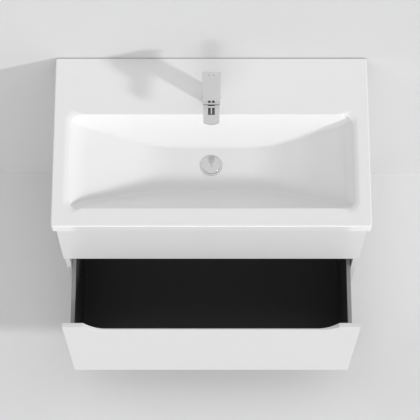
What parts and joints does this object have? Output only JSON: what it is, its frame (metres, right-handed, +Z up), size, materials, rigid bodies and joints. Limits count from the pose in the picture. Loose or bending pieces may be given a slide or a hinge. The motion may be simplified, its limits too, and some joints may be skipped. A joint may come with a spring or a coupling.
{
  "type": "freestanding vanity unit",
  "caption": "White freestanding bathroom vanity: ceramic basin on a cabinet with stacked drawers, chrome lever mixer and pop-up waste.",
  "frame": {"origin": "on the floor, in the middle of the footprint with the lower drawer pulled out as in the picture", "axes": "+Z up, +X to the right as seen from in front, +Y towards the wall"},
  "size_m": [0.8, 0.642, 0.9715],
  "materials": {
    "ceramic": "white sanitary glaze",
    "sealant": "white sanitary sealant",
    "lacquer": "white satin lacquer on board",
    "drawer_board": "anthracite laminate on board",
    "drawer_edge": "light grey edge profile",
    "shield_plastic": "fine matt",
    "zinc": "bright zinc plating",
    "beech": "plain",
    "rubber": "matt",
    "leg_metal": "polished",
    "chrome": "polished",
    "brass": "machined",
    "cartridge_plastic": "moulded"
  },
  "bodies": {
    "cabinet": {"basin": "ceramic", "sealant_strips": "sealant", "side_panel_left": "lacquer", "side_panel_right": "lacquer", "bottom_panel": "lacquer", "front_rail": "lacquer", "upper_back_rail": "lacquer", "lower_back_rail": "lacquer", "cam_locks": "zinc", "cam_bolts": "zinc", "dowels": "beech", "wall_brackets": "zinc", "front_bumpers": "rubber", "leg_plates": "zinc", "legs": "leg_metal", "leg_feet": "rubber", "mixer_body": "chrome", "mixer_gasket": "rubber", "mixer_stud": "zinc", "mixer_clamp": "zinc", "mixer_nut": "brass", "mixer_cartridge": "cartridge_plastic", "cartridge_nut": "brass", "aerator": "cartridge_plastic", "waste_body": "chrome", "waste_gasket": "rubber", "waste_seal": "rubber", "waste_nut": "brass", "tailpiece": "chrome", "trap_nuts": "chrome", "trap_body": "chrome", "trap_cup": "chrome", "trap_outlet": "chrome", "upper_cabinet_runners": "zinc", "lower_cabinet_runners": "zinc"},
    "upper_drawer": {"upper_front": "lacquer", "upper_side_left": "drawer_board", "upper_side_right": "drawer_board", "upper_bottom": "drawer_board", "upper_backs": "drawer_board", "upper_shield": "shield_plastic", "upper_brackets": "zinc", "upper_drawer_runners": "zinc", "drawer_edges_upper": "drawer_edge"},
    "upper_slide": {"upper_middle_runners": "zinc"},
    "lower_drawer": {"lower_front": "lacquer", "lower_side_left": "drawer_board", "lower_side_right": "drawer_board", "lower_bottom": "drawer_board", "lower_back": "drawer_board", "lower_brackets": "zinc", "lower_drawer_runners": "zinc", "drawer_edges_lower": "drawer_edge"},
    "lower_slide": {"lower_middle_runners": "zinc"},
    "lever_carrier": {"lever_carrier": "chrome"},
    "lever": {"mixer_lever": "chrome", "lever_pin": "zinc"},
    "plug": {"plug_cap": "chrome", "plug_seal": "rubber", "plug_stem": "zinc"}
  },
  "joints": [
    {"name": "upper_drawer_slide", "type": "slide", "parent": "cabinet", "child": "upper_drawer", "axis": [0, -1, 0], "range_m": [0, 0.37]},
    {"name": "upper_runner_slide", "type": "slide", "parent": "cabinet", "child": "upper_slide", "axis": [0, -1, 0], "range_m": [0, 0.185]},
    {"name": "lower_drawer_slide", "type": "slide", "parent": "cabinet", "child": "lower_drawer", "axis": [0, -1, 0], "range_m": [-0.186, 0.184]},
    {"name": "lower_runner_slide", "type": "slide", "parent": "cabinet", "child": "lower_slide", "axis": [0, -1, 0], "range_m": [-0.093, 0.092]},
    {"name": "mixer_turn", "type": "hinge", "parent": "cabinet", "child": "lever_carrier", "pos_m": [0, 0.211, 0.9435], "axis": [0, 0, 1], "range_deg": [-45, 45]},
    {"name": "mixer_lift", "type": "hinge", "parent": "lever_carrier", "child": "lever", "pos_m": [0, 0.211, 0.9565], "axis": [-1, 0, 0], "range_deg": [0, 25]},
    {"name": "plug_lift", "type": "slide", "parent": "cabinet", "child": "plug", "axis": [0, 0, 1], "range_m": [0, 0.008]}
  ],
  "couplings": [
    {"joint": "upper_runner_slide", "follows": "upper_drawer_slide", "ratio": 0.5},
    {"joint": "lower_runner_slide", "follows": "lower_drawer_slide", "ratio": 0.5}
  ]
}
